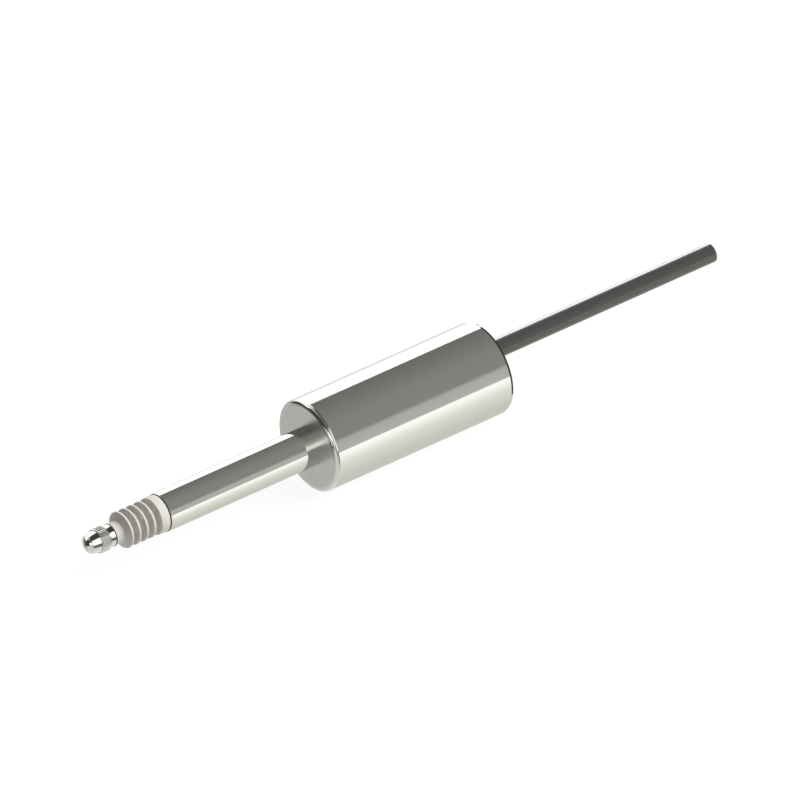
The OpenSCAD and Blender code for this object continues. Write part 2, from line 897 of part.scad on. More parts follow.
module ball_cage() {
    color([0.78, 0.62, 0.30])
        difference() {
            ring(cage_rear_x, cage_rear_x + cage_len, cage_r, cage_r - cage_wall);
            for (row = [0 : ball_rows - 1])
                for (i = [0 : balls_in_row - 1])
                    rotate([ball_angle(row, i), 0, 0])
                        translate([ball_x(row), 0, 0])
                            cylinder(h = cage_r + 1, r = ball_r + slot_clear, $fn = 32);
        }
}

module guide_balls() {
    color([0.66, 0.66, 0.66])
        for (row = [0 : ball_rows - 1])
            for (i = [0 : balls_in_row - 1])
                rotate([ball_angle(row, i), 0, 0])
                    translate([ball_x(row), 0, ball_circle_r])
                        sphere(r = ball_r, $fn = 32);
}

body_tube();
front_cap();
front_seal();
rear_cap();
rear_seal();
stem_tube();
stem_nut();
guide_sleeve();
spring_seat();
return_spring();
gaiter();
shield_tube();
front_washer();
rear_washer();
coil_bobbin();
primary_winding();
front_secondary();
rear_secondary();
board_spacer();
terminal_board();
terminal_pins();
cable_leads();
cable_grommet();
cable_ferrule();
cable_jacket();
spindle();
stop_ring();
key_pin();
cuff_washer();
gaiter_ring();
contact_tip();
tip_dome();
core_rod();
core_sleeve();
core_nut();
ball_cage();
guide_balls();
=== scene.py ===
# A slim displacement probe on a pale floor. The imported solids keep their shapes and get
# procedural finishes; the gaiter, the return spring and the cable are meshes of their own.
import json
import math

import bmesh
import bpy
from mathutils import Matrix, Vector


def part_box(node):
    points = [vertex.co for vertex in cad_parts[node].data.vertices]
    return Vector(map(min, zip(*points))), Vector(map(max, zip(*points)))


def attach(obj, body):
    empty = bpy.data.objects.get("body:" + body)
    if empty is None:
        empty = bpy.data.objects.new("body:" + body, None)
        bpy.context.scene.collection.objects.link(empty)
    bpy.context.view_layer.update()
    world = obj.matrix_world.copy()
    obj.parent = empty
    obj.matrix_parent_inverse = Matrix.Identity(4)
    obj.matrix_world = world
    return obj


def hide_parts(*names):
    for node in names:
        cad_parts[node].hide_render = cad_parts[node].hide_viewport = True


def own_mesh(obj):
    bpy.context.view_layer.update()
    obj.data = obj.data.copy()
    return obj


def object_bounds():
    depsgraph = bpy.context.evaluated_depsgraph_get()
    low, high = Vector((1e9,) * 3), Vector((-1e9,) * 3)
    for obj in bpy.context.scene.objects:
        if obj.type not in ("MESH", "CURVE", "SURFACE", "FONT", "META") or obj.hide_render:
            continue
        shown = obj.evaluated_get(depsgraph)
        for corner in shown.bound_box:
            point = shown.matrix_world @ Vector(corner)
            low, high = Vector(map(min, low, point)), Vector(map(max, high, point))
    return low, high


MM = 0.001

# Height of the cable above the probe's axis in mm, for its mesh and for the leads' colours
CABLE_UP = 3.2

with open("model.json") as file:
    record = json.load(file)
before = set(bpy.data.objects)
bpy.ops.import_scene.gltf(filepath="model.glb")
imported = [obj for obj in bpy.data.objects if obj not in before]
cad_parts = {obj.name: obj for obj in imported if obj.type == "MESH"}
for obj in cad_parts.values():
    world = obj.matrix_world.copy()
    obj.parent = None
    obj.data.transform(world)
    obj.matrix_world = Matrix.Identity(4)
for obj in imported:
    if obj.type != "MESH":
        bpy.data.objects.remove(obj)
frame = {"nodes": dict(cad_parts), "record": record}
cad_low, cad_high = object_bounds()
scene = bpy.context.scene
scene.view_settings.view_transform = "Standard"


# Camera: a parallel view from in front of the tip, to its left and above
VIEW_AZIMUTH = math.radians(142.245)
VIEW_ELEVATION = math.radians(35.3)
VIEW_WIDTH = 154.44 * MM
VIEW_CENTRE = Vector((-17.257, 6.799, 7.331)) * MM
VIEW_DISTANCE = 0.5
VIEW_CLIP = (0.01, 10)

towards_camera = Vector((
    math.sin(VIEW_AZIMUTH) * math.cos(VIEW_ELEVATION),
    -math.cos(VIEW_AZIMUTH) * math.cos(VIEW_ELEVATION),
    math.sin(VIEW_ELEVATION),
))
camera_data = bpy.data.cameras.new("camera")
camera_data.type = "ORTHO"
camera_data.ortho_scale = VIEW_WIDTH
camera_data.clip_start, camera_data.clip_end = VIEW_CLIP
camera = bpy.data.objects.new("camera", camera_data)
camera.location = VIEW_CENTRE + VIEW_DISTANCE * towards_camera
camera.rotation_mode = "QUATERNION"
camera.rotation_quaternion = (-towards_camera).to_track_quat("-Z", "Y")
scene.collection.objects.link(camera)
scene.camera = camera


# Node helpers

def make(tree, kind, inputs=None, **settings):
    """Adds a shader node; each input gets a value or is linked to another node's output."""
    made = tree.nodes.new("ShaderNode" + kind)
    for name, value in settings.items():
        setattr(made, name, value)
    for place, value in (inputs or {}).items():
        if isinstance(value, bpy.types.NodeSocket):
            tree.links.new(value, made.inputs[place])
        else:
            made.inputs[place].default_value = value
    return made


def math_node(tree, operation, *values):
    return make(tree, "Math", dict(enumerate(values)), operation=operation).outputs[0]


def ramp(tree, factor, stops, interpolation="LINEAR"):
    """A colour ramp through (place, grey or colour) stops."""
    made = make(tree, "ValToRGB", {"Fac": factor})
    elements = made.color_ramp.elements
    made.color_ramp.interpolation = interpolation
    while len(elements) < len(stops):
        elements.new(1)
    for element, (place, value) in zip(elements, stops):
        colour = (value,) * 3 if isinstance(value, (int, float)) else value
        element.position = place
        element.color = (*colour, 1)
    return made.outputs["Color"]


def mix_colours(tree, factor, first, second):
    made = make(tree, "Mix", data_type="RGBA")
    for place, value in (("Factor_Float", factor), ("A_Color", first), ("B_Color", second)):
        socket = next(s for s in made.inputs if s.identifier == place)
        if isinstance(value, bpy.types.NodeSocket):
            tree.links.new(value, socket)
        else:
            socket.default_value = value
    return next(s for s in made.outputs if s.identifier == "Result_Color")


def spread(tree, value, low, high):
    """Spreads a value between 0 and 1 over low to high."""
    return make(tree, "MapRange", {"Value": value, "To Min": low, "To Max": high}).outputs["Result"]


def noise(tree, vector, size, detail=2):
    """Soft noise between 0 and 1 with spots of about the given size."""
    made = make(tree, "TexNoise", {"Vector": vector, "Scale": 1 / size, "Detail": detail})
    return made.outputs["Fac"]


def new_material(name):
    material = bpy.data.materials.new(name)
    material.use_nodes = True
    tree = material.node_tree
    tree.nodes.clear()
    shader = make(tree, "BsdfPrincipled")
    make(tree, "OutputMaterial", {"Surface": shader.outputs["BSDF"]})
    place = make(tree, "TexCoord").outputs["Object"]
    return material, tree, shader, place


def link(tree, output, shader, place):
    tree.links.new(output, shader.inputs[place])


def bump(tree, shader, height, distance):
    made = make(tree, "Bump", {"Height": height, "Distance": distance})
    link(tree, made.outputs["Normal"], shader, "Normal")


def about_axis(tree, place):
    """Station along the axis, distance from it and the angle round it."""
    parts = make(tree, "SeparateXYZ", {"Vector": place}).outputs
    radius = math_node(
        tree, "SQRT",
        math_node(tree, "ADD", math_node(tree, "MULTIPLY", parts[1], parts[1]),
                  math_node(tree, "MULTIPLY", parts[2], parts[2])))
    angle = math_node(tree, "ARCTAN2", parts[2], parts[1])
    return parts[0], radius, angle


# Finishes
FACE_ROUGHNESS = 0.27
FACE_FROM = 0.97
FACE_FULL = 0.999
METAL_CLOUD = 4 * MM
METAL_GLOSS = (0.6, 1.4)
KNURL_ROUGHNESS = 0.16
# Darker tone of the knurled band: painted shade between its ridges
KNURL_SHADE_COLOUR = (0.84, 0.84, 0.81)
KNURL_LENGTH = 2 * MM
KNURL_CHAMFER = 0.12 * MM
CONE_LENGTH = 1.8 * MM
RIDGE_COUNT = 110
RIDGE_SLOPE = math.radians(24)
MOULDED_CLOUD = 3 * MM
MOULDED_GLOSS = (0.85, 1.15)


def turned_metal(
        name, colour, tint, roughness, mark_width, mark_depth, face_roughness=None, knurl=None):
    """Bright metal with fine marks round the axis, duller on flat ends, ridged on a knurl with
    painted shade.
    """
    material, tree, shader, place = new_material(name)
    station, radius, angle = about_axis(tree, place)
    rings = make(tree, "CombineXYZ", {0: station, 1: radius}).outputs[0]
    marks = noise(tree, rings, mark_width, 3)
    cloud = noise(tree, place, METAL_CLOUD, 3)
    tone = mix_colours(tree, cloud, (*colour, 1), (*tint, 1))
    if knurl:
        knurl_rear, knurl_front = knurl
        inside = math_node(
            tree, "MULTIPLY", math_node(tree, "GREATER_THAN", station, knurl_rear),
            math_node(tree, "LESS_THAN", station, knurl_front))
        # Painted shade: the knurled band is darker, standing in for shade between its fine ridges
        tone = mix_colours(tree, inside, tone, (*KNURL_SHADE_COLOUR, 1))
    link(tree, tone, shader, "Base Color")
    worn = math_node(tree, "MULTIPLY_ADD", cloud, 0.5, math_node(tree, "MULTIPLY", marks, 0.5))
    gloss = spread(tree, worn, *(share * roughness for share in METAL_GLOSS))
    if face_roughness:
        normal = make(tree, "SeparateXYZ", {"Vector": make(tree, "TexCoord").outputs["Normal"]})
        flat = make(tree, "MapRange", {
            "Value": math_node(tree, "ABSOLUTE", normal.outputs[0]),
            "From Min": FACE_FROM, "From Max": FACE_FULL,
        }).outputs["Result"]
        gloss = math_node(tree, "MULTIPLY_ADD", flat, face_roughness - roughness, gloss)
    if knurl:
        gloss = math_node(tree, "MULTIPLY_ADD", inside, KNURL_ROUGHNESS - roughness, gloss)
    link(tree, gloss, shader, "Roughness")
    shader.inputs["Metallic"].default_value = 1
    fine = make(tree, "Bump", {"Height": marks, "Distance": mark_depth}).outputs["Normal"]
    if knurl:
        # Fine ridges along the axis, whose two flanks lean either way round it
        wave = math_node(tree, "SINE", math_node(tree, "MULTIPLY", angle, RIDGE_COUNT))
        leaning = math_node(
            tree, "MULTIPLY_ADD", math_node(tree, "SIGN", wave), RIDGE_SLOPE, angle)
        ridge = make(tree, "CombineXYZ", {
            1: math_node(tree, "COSINE", leaning), 2: math_node(tree, "SINE", leaning)}).outputs[0]
        fine = mix_colours(tree, inside, fine, ridge)
    link(tree, fine, shader, "Normal")
    return material


def moulded(name, colour, tint, roughness, grain, grain_depth):
    """Plastic or rubber with a fine skin and a slow drift in tone."""
    material, tree, shader, place = new_material(name)
    cloud = noise(tree, place, MOULDED_CLOUD, 3)
    skin = noise(tree, place, grain)
    link(tree, mix_colours(tree, cloud, (*colour, 1), (*tint, 1)), shader, "Base Color")
    gloss = spread(tree, skin, *(share * roughness for share in MOULDED_GLOSS))
    link(tree, gloss, shader, "Roughness")
    bump(tree, shader, skin, grain_depth)
    return material


def gaiter_rubber():
    """Off-white elastomer; patchy painted shade between the folds and black painted shade at the
    joint with the stem.
    """
    cream = (0.82, 0.80, 0.73, 1)
    dull_cream = (0.78, 0.76, 0.685, 1)
    # Painted shade in the folds: a patchy darker tone deep between the crests, weaker on the front
    # flank
    fold_shade_colour = (0.33, 0.325, 0.305, 1)
    joint_shade_colour = (0.07, 0.07, 0.065, 1)
    joint_shade_width = 0.26 * MM
    front_cuff_length = 1.86 * MM
    last_crest_depth = 2.6 * MM
    front_flank_shade = 0.4
    shaded_radius = 3.4 * MM
    unshaded_radius = 3.7 * MM
    cloud_size = 0.8 * MM
    grain = 0.09 * MM
    grain_depth = 0.002 * MM
    roughness = (0.4, 0.5)
    rear, front = (corner.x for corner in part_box("gaiter"))
    material, tree, shader, place = new_material("gaiter_rubber")
    station, radius, _ = about_axis(tree, place)
    cloud = noise(tree, place, cloud_size, 3)
    skin = noise(tree, place, grain)
    unshaded_tone = mix_colours(tree, cloud, cream, dull_cream)
    hollow = make(tree, "MapRange", {
        "Value": radius, "From Min": shaded_radius, "From Max": unshaded_radius,
        "To Min": 1, "To Max": 0,
    }).outputs["Result"]
    folded = math_node(tree, "LESS_THAN", station, front - last_crest_depth)
    before_cuff = math_node(tree, "LESS_THAN", station, front - front_cuff_length)
    share = math_node(
        tree, "MULTIPLY_ADD", folded, 1 - front_flank_shade,
        math_node(tree, "MULTIPLY", before_cuff, front_flank_shade))
    depth = math_node(tree, "MULTIPLY", hollow, share)
    # Painted shade, patchy, in the hollows of the folds
    fold_shade = math_node(tree, "MULTIPLY", depth, cloud)
    tone = mix_colours(tree, fold_shade, unshaded_tone, fold_shade_colour)
    # Painted shade: a black band at the rear cuff's end, where it meets the stem
    in_joint_shade = math_node(tree, "LESS_THAN", station, rear + joint_shade_width)
    tone = mix_colours(tree, in_joint_shade, tone, joint_shade_colour)
    link(tree, tone, shader, "Base Color")
    link(tree, spread(tree, skin, *roughness), shader, "Roughness")
    bump(tree, shader, skin, grain_depth)
    return material


def cable_sheath():
    """Dark extruded sheath with faint lines along it and a satin gloss."""
    dark = (0.040, 0.040, 0.037, 1)
    pale = (0.060, 0.0585, 0.055, 1)
    line_stretch = (0.03, 1, 1)
    line_width = 0.25 * MM
    line_depth = 0.0002 * MM
    cloud_size = 2.5 * MM
    roughness = (0.38, 0.5)
    material, tree, shader, place = new_material("cable_sheath")
    along = make(tree, "VectorMath", {0: place, 1: line_stretch}, operation="MULTIPLY").outputs[0]
    lines = noise(tree, along, line_width, 3)
    cloud = noise(tree, place, cloud_size)
    link(tree, mix_colours(tree, lines, dark, pale), shader, "Base Color")
    link(tree, spread(tree, cloud, *roughness), shader, "Roughness")
    shader.inputs["Coat Weight"].default_value = 1
    shader.inputs["Coat Roughness"].default_value = 0.06
    bump(tree, shader, lines, line_depth)
    return material


def wound_copper():
    """Enamelled wire lying turn beside turn, with painted shade in the grooves between the turns.
    """
    wire_width = 0.12 * MM
    wire_depth = 0.03 * MM
    cloud_size = 1.5 * MM
    roughness = (0.25, 0.4)
    enamel = (0.62, 0.25, 0.10, 1)
    dull_enamel = (0.52, 0.19, 0.07, 1)
    shade_between_turns = (0.14, 0.04, 0.02, 1)
    material, tree, shader, place = new_material("copper")
    station, _, _ = about_axis(tree, place)
    turn = math_node(tree, "SINE", math_node(tree, "MULTIPLY", station, 2 * math.pi / wire_width))
    round_wire = math_node(tree, "MULTIPLY_ADD", turn, 0.5, 0.5)
    cloud = noise(tree, place, cloud_size, 3)
    bright = mix_colours(tree, cloud, enamel, dull_enamel)
    # Painted shade darkens the grooves between the turns
    link(tree, mix_colours(tree, round_wire, shade_between_turns, bright), shader, "Base Color")
    link(tree, spread(tree, cloud, *roughness), shader, "Roughness")
    shader.inputs["Metallic"].default_value = 0.85
    bump(tree, shader, round_wire, wire_depth)
    return material


def coloured_leads():
    """Five colours of insulation, told apart by their direction from the cable."""
    grime = (0.02, 0.02, 0.02, 1)
    most_grime = 0.25
    cloud_size = 0.4 * MM
    cloud_depth = 0.002 * MM
    roughness = (0.28, 0.4)
    yellow = (0.60, 0.42, 0.05)
    red = (0.55, 0.05, 0.04)
    green = (0.06, 0.30, 0.09)
    white = (0.62, 0.61, 0.58)
    blue = (0.05, 0.12, 0.42)
    stops = [
        (0.00, yellow), (0.25, red), (0.53, green), (0.66, white), (0.84, blue), (0.97, yellow)]
    material, tree, shader, place = new_material("lead_insulation")
    moved = make(tree, "VectorMath", {0: place, 1: (0, 0, CABLE_UP * MM)}, operation="SUBTRACT")
    _, _, angle = about_axis(tree, moved.outputs[0])
    share = make(tree, "MapRange", {
        "Value": angle, "From Min": -math.pi, "From Max": math.pi,
    }).outputs["Result"]
    colour = ramp(tree, share, stops, "CONSTANT")
    cloud = noise(tree, place, cloud_size)
    dirt = spread(tree, cloud, 0, most_grime)
    link(tree, mix_colours(tree, dirt, colour, grime), shader, "Base Color")
    link(tree, spread(tree, cloud, *roughness), shader, "Roughness")
    bump(tree, shader, cloud, cloud_depth)
    return material


def glass_laminate():
    """Green board with the faint weave of its glass cloth."""
    thread = 0.5 * MM
    thread_depth = 0.004 * MM
    roughness = (0.32, 0.46)
    resin = (0.015, 0.11, 0.035, 1)
    glass = (0.03, 0.17, 0.06, 1)
    material, tree, shader, place = new_material("board_laminate")
    parts = make(tree, "SeparateXYZ", {"Vector": place}).outputs
    waves = [
        math_node(tree, "SINE", math_node(tree, "MULTIPLY", parts[axis], 2 * math.pi / thread))
        for axis in (1, 2)
    ]
    weave = math_node(tree, "MULTIPLY_ADD", math_node(tree, "MULTIPLY", *waves), 0.5, 0.5)
    link(tree, mix_colours(tree, weave, resin, glass), shader, "Base Color")
    link(tree, spread(tree, weave, *roughness), shader, "Roughness")
    bump(tree, shader, weave, thread_depth)
    return material


tip_front_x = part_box("contact_tip")[1].x
knurl_front_x = tip_front_x - CONE_LENGTH - KNURL_CHAMFER
knurl_rear_x = tip_front_x - CONE_LENGTH - KNURL_LENGTH + KNURL_CHAMFER

finishes = {
    "case_steel": turned_metal(
        "case_steel", colour=(0.86, 0.86, 0.83), tint=(0.83, 0.83, 0.80), roughness=0.06,
        mark_width=0.08 * MM, mark_depth=0.00002 * MM, face_roughness=FACE_ROUGHNESS),
    "stem_steel": turned_metal(
        "stem_steel", colour=(0.86, 0.86, 0.83), tint=(0.83, 0.83, 0.80), roughness=0.06,
        mark_width=0.05 * MM, mark_depth=0.00002 * MM),
    "inner_steel": turned_metal(
        "inner_steel", colour=(0.66, 0.66, 0.65), tint=(0.58, 0.58, 0.57), roughness=0.22,
        mark_width=0.07 * MM, mark_depth=0.0002 * MM),
    "tip_steel": turned_metal(
        "tip_steel", colour=(0.92, 0.92, 0.89), tint=(0.88, 0.88, 0.85), roughness=0.07,
        mark_width=0.06 * MM, mark_depth=0.00004 * MM, knurl=(knurl_rear_x, knurl_front_x)),
    "carbide": turned_metal(
        "carbide", colour=(0.90, 0.90, 0.87), tint=(0.87, 0.87, 0.84), roughness=0.05,
        mark_width=0.04 * MM, mark_depth=0.00002 * MM),
    "brass": turned_metal(
        "brass", colour=(0.78, 0.56, 0.24), tint=(0.70, 0.48, 0.19), roughness=0.2,
        mark_width=0.07 * MM, mark_depth=0.0002 * MM),
    "soft_iron": turned_metal(
        "soft_iron", colour=(0.40, 0.40, 0.39), tint=(0.33, 0.33, 0.32), roughness=0.4,
        mark_width=0.09 * MM, mark_depth=0.0006 * MM),
    "seal_rubber": moulded(
        "seal_rubber", colour=(0.018, 0.018, 0.018), tint=(0.028, 0.028, 0.027), roughness=0.55,
        grain=0.08 * MM, grain_depth=0.002 * MM),
    "bobbin_plastic": moulded(
        "bobbin_plastic", colour=(0.03, 0.03, 0.032), tint=(0.045, 0.045, 0.048), roughness=0.45,
        grain=0.1 * MM, grain_depth=0.002 * MM),
    "gaiter_rubber": gaiter_rubber(),
    "cable_sheath": cable_sheath(),
    "copper": wound_copper(),
    "lead_insulation": coloured_leads(),
    "board_laminate": glass_laminate(),
}


def dress(piece, material):
    piece.data.materials.clear()
    piece.data.materials.append(material)


for subpart in frame["record"]["subparts"]:
    dress(frame["nodes"][subpart["node"]], finishes[subpart["material_slot"]])


# Mesh helpers
FILLET_STEPS = 5
MOST_OF_SIDE = 0.48
SHARP_ANGLE = math.radians(40)


def rounded(corners):
    """Replaces each (station, radius, fillet) corner of a closed outline by an arc."""
    outline = []
    for index, (x, r, fillet) in enumerate(corners):
        corner = Vector((x, r))
        if not fillet:
            outline.append(corner)
            continue
        before = Vector(corners[index - 1][:2]) - corner
        after = Vector(corners[(index + 1) % len(corners)][:2]) - corner
        half_angle = before.angle(after) / 2
        room = MOST_OF_SIDE * min(before.length, after.length)
        reach = min(fillet / math.tan(half_angle), room)
        middle = (before.normalized() + after.normalized()).normalized()
        centre = corner + middle * reach / math.cos(half_angle)
        start = corner + before.normalized() * reach - centre
        finish = corner + after.normalized() * reach - centre
        for step in range(FILLET_STEPS + 1):
            share = step / FILLET_STEPS
            spoke = start.lerp(finish, share).normalized() * start.length
            outline.append(centre + spoke)
    return outline


def piece_from(name, vertices, faces):
    """A mesh object with its faces turned outwards and its edges sharp above an angle."""
    mesh = bpy.data.meshes.new(name)
    work = bmesh.new()
    points = [work.verts.new(v) for v in vertices]
    for face in faces:
        work.faces.new([points[i] for i in face])
    bmesh.ops.recalc_face_normals(work, faces=work.faces)
    work.to_mesh(mesh)
    work.free()
    mesh.shade_smooth()
    mesh.set_sharp_from_angle(angle=SHARP_ANGLE)
    piece = bpy.data.objects.new(name, mesh)
    scene.collection.objects.link(piece)
    return piece


def grid_faces(rows, columns, closed_rows):
    """Quads over rings of points; closed_rows joins the last ring to the first."""
    faces = []
    for i in range(rows if closed_rows else rows - 1):
        for j in range(columns):
            below = i * columns
            above = (i + 1) % rows * columns
            side = (j + 1) % columns
            faces.append((below + j, below + side, above + side, above + j))
    return faces


def revolved(name, outline, segments, height=0, sideways=0):
    """Turns a closed outline in mm about a line along X, at a height and sideways of the axis."""
    vertices = []
    for point in outline:
        for j in range(segments):
            angle = 2 * math.pi * j / segments
            vertices.append(Vector((
                point.x,
                sideways + point.y * math.cos(angle),
                height + point.y * math.sin(angle),
            )) * MM)
    return piece_from(name, vertices, grid_faces(len(outline), segments, True))


def place_on(piece, body, slot):
    dress(piece, finishes[slot])
    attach(piece, body)


# Cable: straight out of the rear cap to its cut end, with the screen and cores showing there
CABLE_R = 1.95
JACKET_WALL = 0.45
JACKET_INNER_ROUND = 0.08
JACKET_OUTER_ROUND = 0.12
CUT_DEPTH = 1.2
SCREEN_WALL = 0.18
SCREEN_ROUND = 0.04
CORE_R = 0.36
CORE_INNER_ROUND = 0.02
CORE_OUTER_ROUND = 0.06
CORE_CIRCLE_R = 0.72
CORE_COUNT = 5
CORE_TURN = 0.25
WIRE_R = 0.17
WIRE_HOLE_R = WIRE_R / 4
WIRE_ROUND = 0.05
WIRE_SHOWS = 0.25
LOOSE_FIT = 0.01
CABLE_SEGMENTS = 128
SCREEN_SEGMENTS = 48
CORE_SEGMENTS = 24
WIRE_SEGMENTS = 16

cable_low, cable_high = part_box("cable_jacket")
cable_inner_x = cable_high.x / MM
cable_end_x = cable_low.x / MM
bore_r = CABLE_R - JACKET_WALL
cut_x = cable_end_x + CUT_DEPTH

cable = revolved("cable", rounded([
    (cable_inner_x, CABLE_R, 0),
    (cable_inner_x, bore_r, 0),
    (cable_end_x, bore_r, JACKET_INNER_ROUND),
    (cable_end_x, CABLE_R, JACKET_OUTER_ROUND),
]), CABLE_SEGMENTS, CABLE_UP)
place_on(cable, "housing", "cable_sheath")
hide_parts("cable_jacket")

screen = revolved("cable_screen", rounded([
    (cable_inner_x, bore_r - LOOSE_FIT, 0),
    (cable_inner_x, bore_r - SCREEN_WALL, 0),
    (cut_x, bore_r - SCREEN_WALL, SCREEN_ROUND),
    (cut_x, bore_r - LOOSE_FIT, SCREEN_ROUND),
]), SCREEN_SEGMENTS, CABLE_UP)
place_on(screen, "housing", "brass")

cores = []
for core in range(CORE_COUNT):
    angle = 2 * math.pi * (core + CORE_TURN) / CORE_COUNT
    sideways = CORE_CIRCLE_R * math.cos(angle)
    height = CABLE_UP + CORE_CIRCLE_R * math.sin(angle)
    insulation = revolved(f"cable_core_{core + 1}", rounded([
        (cable_inner_x, CORE_R, 0),
        (cable_inner_x, WIRE_R, 0),
        (cut_x - WIRE_SHOWS, WIRE_R, CORE_INNER_ROUND),
        (cut_x - WIRE_SHOWS, CORE_R, CORE_OUTER_ROUND),
    ]), CORE_SEGMENTS, height, sideways)
    place_on(insulation, "housing", "lead_insulation")
    wire = revolved(f"cable_wire_{core + 1}", rounded([
        (cable_inner_x, WIRE_R - LOOSE_FIT, 0),
        (cable_inner_x, WIRE_HOLE_R, 0),
        (cut_x - 2 * WIRE_SHOWS, WIRE_HOLE_R, 0),
        (cut_x - 2 * WIRE_SHOWS, WIRE_R - LOOSE_FIT, WIRE_ROUND),
    ]), WIRE_SEGMENTS, height, sideways)
    place_on(wire, "housing", "copper")
    cores += [insulation, wire]


# Gaiter: two plain cuffs and the folds between them
GAITER_SEGMENTS = 144
NOSE_HOLE_R = 3.02
NECK_HOLE_R = 1.77
REAR_CUFF_R = 3.9
CUFF_DRAFT = 0.1
CUFF_ROUND = 0.1
BORE_ROUND = 0.05
REAR_CUFF_LENGTH = 2.1
FRONT_CUFF_R = 2.25
CREST_R = 3.75
CREST_W = 0.36
CREST_ROUND = 0.07
ROOT_R = 2.6
ROOT_W = 0.5
ROOT_ROUND = 0.2
FOLD_PITCH = 1.82
FOLDS = 5
WALL = 0.3
FOLD_GAP = 0.06

gaiter_low, gaiter_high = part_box("gaiter")
gaiter_rear_x = gaiter_low.x / MM
gaiter_front_x = gaiter_high.x / MM
rear_cuff_x = gaiter_rear_x + REAR_CUFF_LENGTH
first_crest_x = rear_cuff_x - CREST_W / 2
front_cuff_x = first_crest_x + (FOLDS - 0.5) * FOLD_PITCH
cuff_front_r = REAR_CUFF_R - CUFF_DRAFT

rear_cuff = revolved("gaiter_rear_cuff", rounded([
    (gaiter_rear_x, REAR_CUFF_R, CUFF_ROUND),
    (rear_cuff_x, cuff_front_r, CREST_ROUND),
    (rear_cuff_x, NOSE_HOLE_R, BORE_ROUND),
    (gaiter_rear_x, NOSE_HOLE_R, BORE_ROUND),
]), GAITER_SEGMENTS)
place_on(rear_cuff, "housing", "gaiter_rubber")

front_cuff = revolved("gaiter_front_cuff", rounded([
    (front_cuff_x, FRONT_CUFF_R, 0),
    (gaiter_front_x, FRONT_CUFF_R, CUFF_ROUND),
    (gaiter_front_x, NECK_HOLE_R, BORE_ROUND),
    (front_cuff_x, NECK_HOLE_R, 0),
]), GAITER_SEGMENTS)
place_on(front_cuff, "plunger", "gaiter_rubber")

flank = FOLD_PITCH / 2 - ROOT_W / 2
outer_corners = [(rear_cuff_x, cuff_front_r - CREST_ROUND, 0)]
inner_corners = []
for fold in range(FOLDS):
    crest_x = first_crest_x + fold * FOLD_PITCH
    if fold:
        outer_corners.append((crest_x - flank, ROOT_R, ROOT_ROUND))
        outer_corners.append((crest_x - CREST_W / 2, CREST_R, CREST_ROUND))
        outer_corners.append((crest_x + CREST_W / 2, CREST_R, CREST_ROUND))
        inner_corners.append((crest_x - flank + WALL, ROOT_R - WALL, BORE_ROUND))
        inner_corners.append((crest_x - FOLD_GAP / 2, CREST_R - WALL, 0))
        inner_corners.append((crest_x + FOLD_GAP / 2, CREST_R - WALL, 0))
    outer_corners.append((crest_x + flank, ROOT_R, ROOT_ROUND))
    inner_corners.append((crest_x + flank - WALL, ROOT_R - WALL, BORE_ROUND))
outer_corners += [(front_cuff_x, FRONT_CUFF_R, 0), (front_cuff_x, NECK_HOLE_R, 0)]
inner_corners.append((front_cuff_x - WALL, NECK_HOLE_R, 0))
rear_mouth = [(rear_cuff_x, NOSE_HOLE_R, 0)]
folds = revolved(
    "gaiter_folds", rounded(outer_corners + inner_corners[::-1] + rear_mouth), GAITER_SEGMENTS)
place_on(folds, "housing", "gaiter_rubber")
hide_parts("gaiter")
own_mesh(folds)


# Return spring: round wire with a closed turn at each end
SPRING_R = 2.4
WIRE_D = 0.4
OPEN_TURNS = 8
CLOSED_TURNS = 2
STEPS_PER_TURN = 40
WIRE_SIDES = 12

spring_low, spring_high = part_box("return_spring")
spring_rear_x = spring_low.x / MM
spring_length = spring_high.x / MM - spring_rear_x
spring_turns = OPEN_TURNS + CLOSED_TURNS
open_rise = spring_length - (CLOSED_TURNS + 1) * WIRE_D
wire_rings = spring_turns * STEPS_PER_TURN + 1
wire_points = []
for step in range(wire_rings):
    turn = step / STEPS_PER_TURN
    open_share = min(max((turn - 1) / OPEN_TURNS, 0), 1)
    closed_turns = min(turn, 1) + max(turn - spring_turns + 1, 0)
    wire_x = spring_rear_x + WIRE_D / 2 + WIRE_D * closed_turns + open_rise * open_share
    angle = 2 * math.pi * turn
    for side in range(WIRE_SIDES):
        around = 2 * math.pi * side / WIRE_SIDES
        reach = SPRING_R + WIRE_D / 2 * math.cos(around)
        wire_points.append(Vector((
            wire_x + WIRE_D / 2 * math.sin(around),
            reach * math.cos(angle),
            reach * math.sin(angle),
        )) * MM)
wire_faces = grid_faces(wire_rings, WIRE_SIDES, False)
wire_faces.append(tuple(range(WIRE_SIDES)))
wire_faces.append(tuple(range((wire_rings - 1) * WIRE_SIDES, wire_rings * WIRE_SIDES)))
spring = piece_from("spring_coil", wire_points, wire_faces)
place_on(spring, "housing", "inner_steel")
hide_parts("return_spring")
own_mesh(spring)


# Surroundings

def flat_sheet(name, corners):
    """A four-cornered sheet with an empty material, which is no part of the object."""
    mesh = bpy.data.meshes.new(name)
    mesh.from_pydata(corners, [], [range(len(corners))])
    sheet = bpy.data.objects.new(name, mesh)
    scene.collection.objects.link(sheet)
    material = bpy.data.materials.new(name)
    material.use_nodes = True
    material.node_tree.nodes.clear()
    mesh.materials.append(material)
    return sheet, material.node_tree


# Floor under the case, white to the camera with the object's soft shadow on it
FLOOR_REACH = 1.5
FLOOR_DROP = 0.02 * MM
FLOOR_GREY = 0.16
FLOOR_GLOW = 0.9
FLOOR_BOUNCE = 0.45

